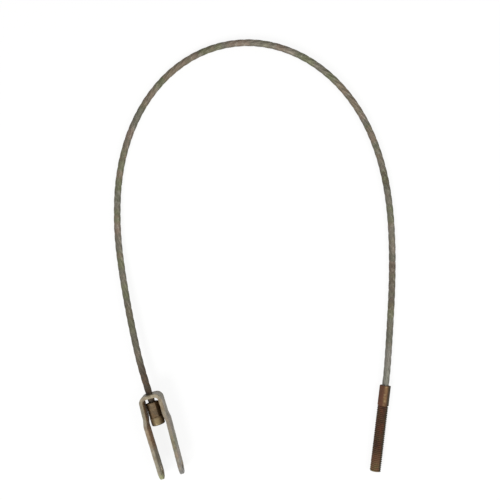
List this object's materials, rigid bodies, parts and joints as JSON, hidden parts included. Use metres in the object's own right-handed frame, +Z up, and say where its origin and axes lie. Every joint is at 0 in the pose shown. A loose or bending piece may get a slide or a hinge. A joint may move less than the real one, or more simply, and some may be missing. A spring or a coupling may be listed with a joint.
{
  "type": "parking brake cable",
  "caption": "Steel wire rope with a strap clevis that swivels behind a pressed ferrule at one end and a swaged threaded stud at the other.",
  "frame": {"origin": "bottom centre of the box round the clevis, the ferrule and the stud, on the surface that the cable lies on", "axes": "+X from the clevis's side to the stud's side, +Y along the clevis from its tips to its web, +Z up from the floor"},
  "size_m": [0.2202, 0.3342, 0.016],
  "materials": {
    "clevis_steel": "dull worn zinc plate, grey-tan, with olive stains and orange-brown rust",
    "ferrule_steel": "dark brown oiled steel with tan worn faces",
    "stud_steel": "dark red-brown rust on the thread, worn tan-gold flats on the socket",
    "rope_wire": "dull galvanised wire, grey-olive with green and pinkish-brown patches"
  },
  "bodies": {
    "cable": {"wire_rope": "rope_wire", "ferrule": "ferrule_steel", "threaded_stud": "stud_steel"},
    "clevis": {"clevis": "clevis_steel"}
  },
  "joints": [
    {"name": "clevis_swivel", "type": "hinge", "parent": "cable", "child": "clevis", "pos_m": [-0.08104, 0.04865, 0.008], "axis": [-0.0349, 0.9994, 0], "continuous": true}
  ]
}
